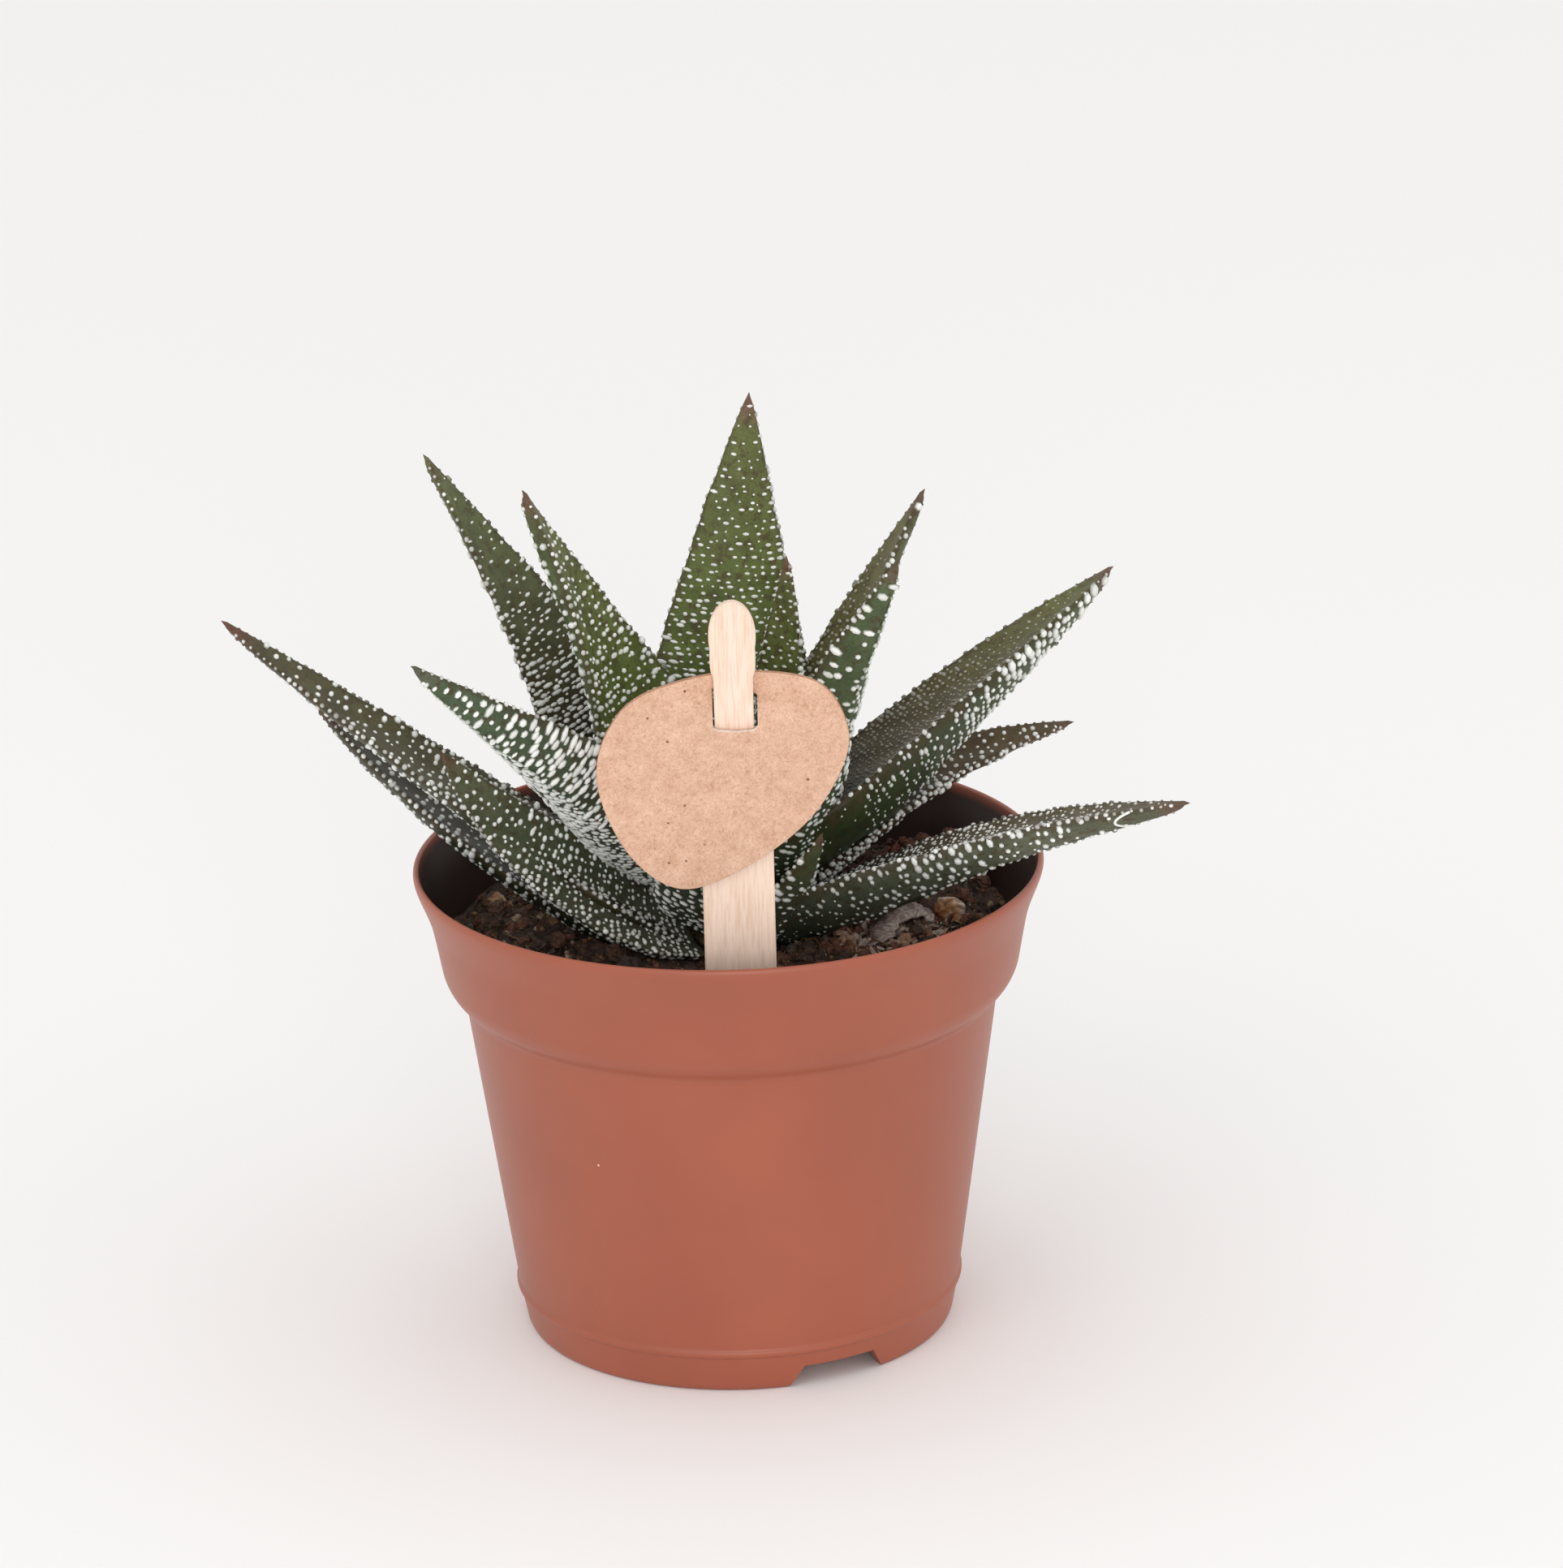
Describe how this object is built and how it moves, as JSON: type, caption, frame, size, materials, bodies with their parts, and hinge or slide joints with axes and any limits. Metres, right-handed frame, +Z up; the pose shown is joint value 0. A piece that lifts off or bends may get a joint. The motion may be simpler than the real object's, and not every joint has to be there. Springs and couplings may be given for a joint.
{
  "type": "potted haworthia",
  "caption": "Small warty-leaved succulent rosette in a round plastic nursery pot of peat, with a wooden stick label and a card tag.",
  "frame": {"origin": "middle of the whole plant's footprint, on the surface that the pot stands on", "axes": "+Z up along the pot's axis, +X to the right as seen from the side with the label, +Y to the back"},
  "size_m": [0.136, 0.098, 0.1295],
  "materials": {
    "terracotta_polypropylene": "satin moulded polypropylene",
    "peat": "damp, crumbly and fibrous",
    "stem_bark": "matte",
    "leaf_skin": "waxy satin skin with white warts",
    "birch": "smooth, unvarnished",
    "greyboard": "matte, fibrous",
    "wood_chip": "rough",
    "dry_leaf": "dry and brittle"
  },
  "bodies": {
    "root": {"pot": "terracotta_polypropylene", "soil": "peat", "stem": "stem_bark", "leaf_01": "leaf_skin", "leaf_02": "leaf_skin", "leaf_03": "leaf_skin", "leaf_04": "leaf_skin", "leaf_05": "leaf_skin", "leaf_06": "leaf_skin", "leaf_07": "leaf_skin", "leaf_08": "leaf_skin", "leaf_09": "leaf_skin", "leaf_10": "leaf_skin", "leaf_11": "leaf_skin", "leaf_12": "leaf_skin", "leaf_13": "leaf_skin", "leaf_14": "leaf_skin", "leaf_15": "leaf_skin", "leaf_16": "leaf_skin", "leaf_17": "leaf_skin", "leaf_18": "leaf_skin", "leaf_19": "leaf_skin", "leaf_20": "leaf_skin", "leaf_21": "leaf_skin", "wooden_stick": "birch", "card_tag": "greyboard", "wood_chip": "wood_chip", "dry_leaf_scrap": "dry_leaf", "bark_chunk": "wood_chip", "peat_lump_right": "peat", "peat_lump_left": "peat"}
  },
  "joints": []
}
